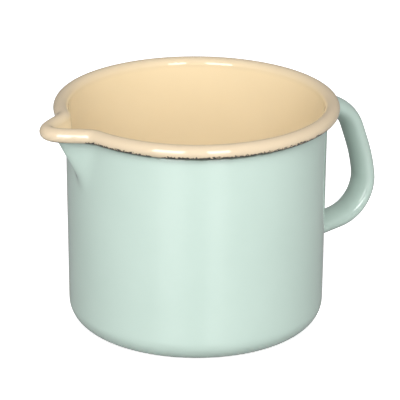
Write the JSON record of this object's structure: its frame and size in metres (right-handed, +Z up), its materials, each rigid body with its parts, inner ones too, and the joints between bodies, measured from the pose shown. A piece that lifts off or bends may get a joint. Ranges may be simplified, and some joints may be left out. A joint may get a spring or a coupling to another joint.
{
  "type": "enamelled milk pot",
  "caption": "Straight-sided enamelled steel milk pot with a rolled rim, a pressed pouring lip and a hollow loop handle welded on opposite the lip.",
  "frame": {"origin": "centre of the flat standing face under the base, on the axis of the pot", "axes": "+Z up along the axis of the pot, +X towards the handle, -X towards the pouring lip"},
  "size_m": [0.1794, 0.134, 0.109],
  "materials": {
    "steel": "bare drawn sheet, hidden under the enamel",
    "weld_metal": "smooth fillet, hidden under the enamel",
    "ground_enamel": "dark glossy ground coat",
    "cream_enamel": "glossy fired cream cover coat",
    "mint_enamel": "glossy fired pale mint green cover coat"
  },
  "bodies": {
    "root": {"steel_body": "steel", "handle_tube": "steel", "upper_weld": "weld_metal", "lower_weld": "weld_metal", "ground_coat": "ground_enamel", "cream_lining": "cream_enamel", "mint_jacket": "mint_enamel", "mint_base": "mint_enamel", "handle_coat": "mint_enamel"}
  },
  "joints": []
}
